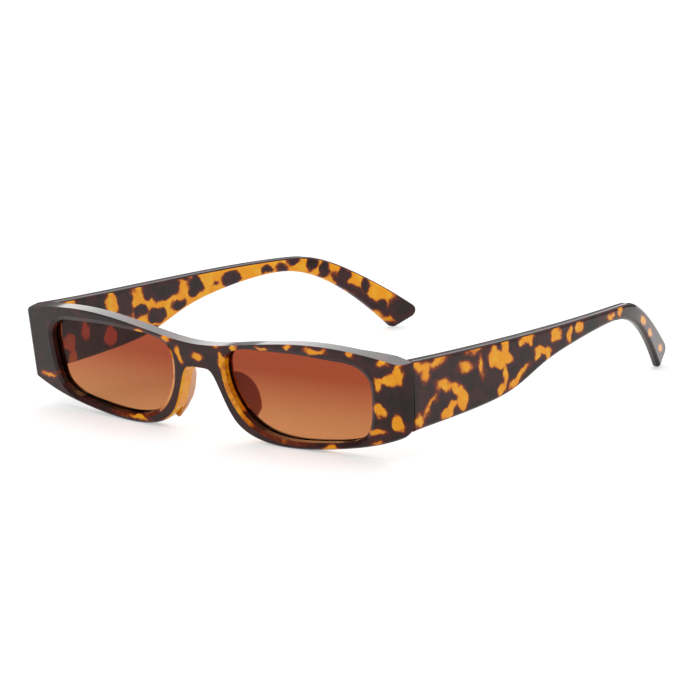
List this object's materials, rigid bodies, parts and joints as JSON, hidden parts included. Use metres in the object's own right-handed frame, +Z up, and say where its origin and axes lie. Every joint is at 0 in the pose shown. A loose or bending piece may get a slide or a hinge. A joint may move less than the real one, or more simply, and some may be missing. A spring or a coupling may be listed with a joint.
{
  "type": "sunglasses",
  "caption": "Narrow rectangular sunglasses in mottled brown and amber plastic, with wide folding temples.",
  "frame": {"origin": "on the surface that the open glasses stand on, in the middle between the two sides and midway between the bridge and the temple tips", "axes": "+X to the wearer's left, the lenses face -Y, the temples run towards +Y, +Z up"},
  "size_m": [0.148, 0.1486, 0.0319],
  "materials": {
    "tortoiseshell": "gloss",
    "tinted_lens": "gloss",
    "amber_pad": "gloss",
    "hinge_metal": "satin",
    "screw_metal": "satin"
  },
  "bodies": {
    "front": {"front_frame": "tortoiseshell", "lens_left": "tinted_lens", "lens_right": "tinted_lens", "nose_pad_left": "amber_pad", "nose_pad_right": "amber_pad", "hinge_front_leaf_left": "hinge_metal", "hinge_front_leaf_right": "hinge_metal", "hinge_screw_left": "screw_metal", "hinge_screw_right": "screw_metal"},
    "left_temple": {"temple_left": "tortoiseshell", "hinge_temple_leaf_left": "hinge_metal"},
    "right_temple": {"temple_right": "tortoiseshell", "hinge_temple_leaf_right": "hinge_metal"}
  },
  "joints": [
    {"name": "left_temple_fold", "type": "hinge", "parent": "front", "child": "left_temple", "pos_m": [0.0679, -0.0641, 0.0186], "axis": [0, 0, 1], "range_deg": [0, 82.1]},
    {"name": "right_temple_fold", "type": "hinge", "parent": "front", "child": "right_temple", "pos_m": [-0.0679, -0.0641, 0.0186], "axis": [0, 0, -1], "range_deg": [0, 54]}
  ]
}
